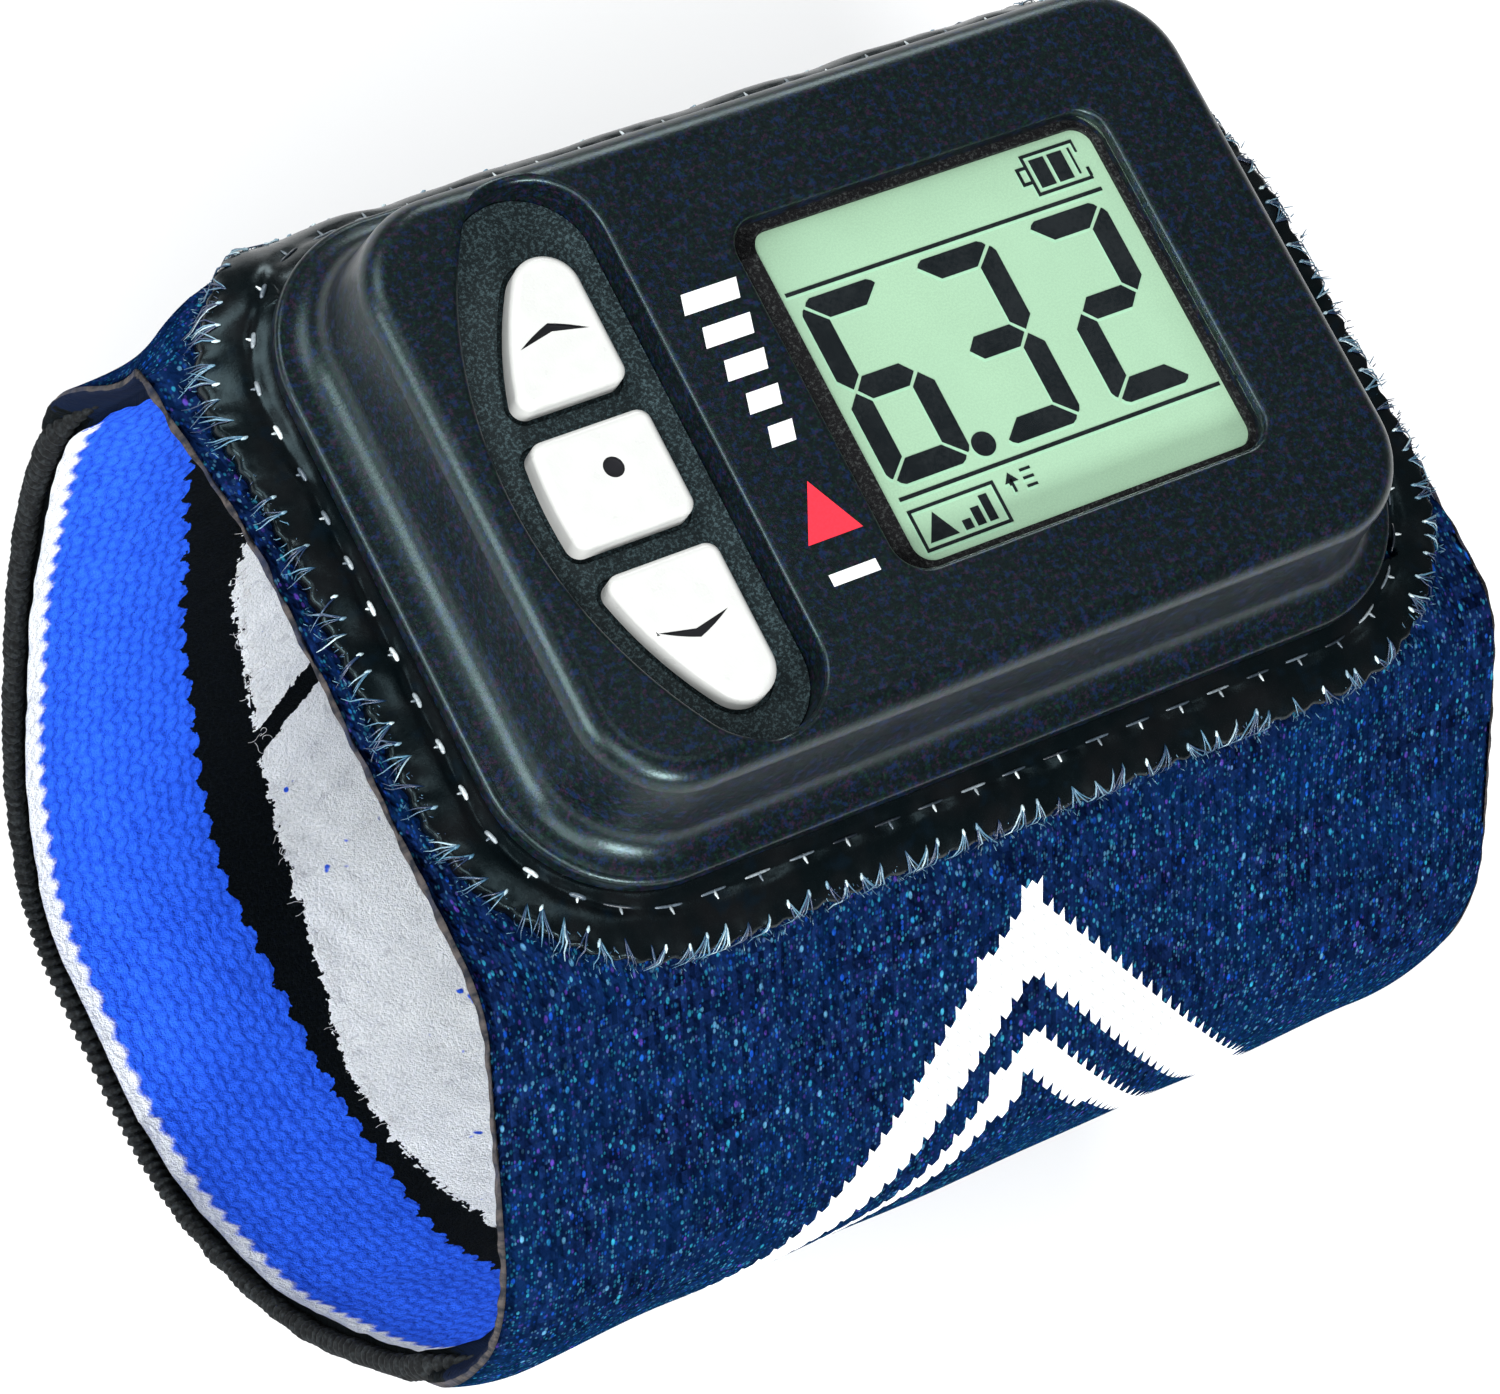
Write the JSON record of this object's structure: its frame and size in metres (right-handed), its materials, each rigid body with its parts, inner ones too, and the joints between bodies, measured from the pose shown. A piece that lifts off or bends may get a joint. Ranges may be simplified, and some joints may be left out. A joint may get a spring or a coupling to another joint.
{
  "type": "wrist altimeter",
  "caption": "Digital altimeter for the wrist: black housing with a square display and white keys, sewn through a flange into a wide knitted elastic loop.",
  "frame": {"origin": "bottom centre of the bounding box, where the band's loop rests on the surface", "axes": "+Z out of the display, +X along the forearm from the keys to the display, +Y towards the top of the display"},
  "size_m": [0.0694, 0.0601, 0.07],
  "materials": {
    "case_black": "satin moulded, slight speckle",
    "case_back": "matte moulded",
    "seal": "matte",
    "screw_steel": "plain",
    "flange": "glossy, stitched",
    "band_knit": "knitted elastic, navy outside, blue, black and off-white inside",
    "window_clear": "clear, polished",
    "mask_black": "fine rough texture",
    "lcd_glass": "clear",
    "lcd_green": "pale green reflective film",
    "light_guide": "frosted",
    "holder_plastic": "plain",
    "lamp": "plain",
    "tray_rubber": "dark, fine speckle",
    "key_white": "semi-gloss off-white, black engraved marks",
    "contact_metal": "thin spring sheet",
    "board_green": "solder mask",
    "chip_black": "moulded",
    "sensor_can": "plain",
    "vent_cloth": "thin white film",
    "cell_steel": "plain",
    "cap_black": "matte moulded with a coin slot"
  },
  "bodies": {
    "case": {"upper_housing": "case_black", "lower_housing": "case_back", "housing_gasket": "seal", "case_screws": "screw_steel", "sew_in_flange": "flange", "elastic_band": "band_knit", "display_window": "window_clear", "window_mask": "mask_black", "lcd_front_glass": "lcd_glass", "lcd_rear_glass": "lcd_glass", "lcd_reflector": "lcd_green", "backlight_panel": "light_guide", "lcd_holder": "holder_plastic", "zebra_connectors": "seal", "backlight_leds": "lamp", "keypad_membrane": "tray_rubber", "up_switch_dome": "contact_metal", "select_switch_dome": "contact_metal", "down_switch_dome": "contact_metal", "main_circuit_board": "board_green", "microcontroller": "chip_black", "pressure_sensor": "sensor_can", "pressure_port_membrane": "vent_cloth", "quartz_crystal": "sensor_can", "board_components": "chip_black", "coin_cell": "cell_steel", "battery_negative_contact": "contact_metal", "battery_positive_contact": "contact_metal"},
    "up_key": {"up_button": "key_white"},
    "select_key": {"select_button": "key_white"},
    "down_key": {"down_button": "key_white"},
    "battery_door": {"battery_cap": "cap_black", "battery_cap_o_ring": "seal"}
  },
  "joints": [
    {"name": "up_press", "type": "slide", "parent": "case", "child": "up_key", "axis": [0, 0, -1], "range_m": [0, 0.0004], "stiffness_N_per_m": 2500, "springref_m": -0.0002, "deforming": ["up_switch_dome"]},
    {"name": "select_press", "type": "slide", "parent": "case", "child": "select_key", "axis": [0, 0, -1], "range_m": [0, 0.0004], "stiffness_N_per_m": 2500, "springref_m": -0.0002, "deforming": ["select_switch_dome"]},
    {"name": "down_press", "type": "slide", "parent": "case", "child": "down_key", "axis": [0, 0, -1], "range_m": [0, 0.0004], "stiffness_N_per_m": 2500, "springref_m": -0.0002, "deforming": ["down_switch_dome"]},
    {"name": "battery_cap_turn", "type": "hinge", "parent": "case", "child": "battery_door", "pos_m": [0.0012, 0.00717, 0.0565], "axis": [0, 0, 1], "range_deg": [0, 60]}
  ]
}
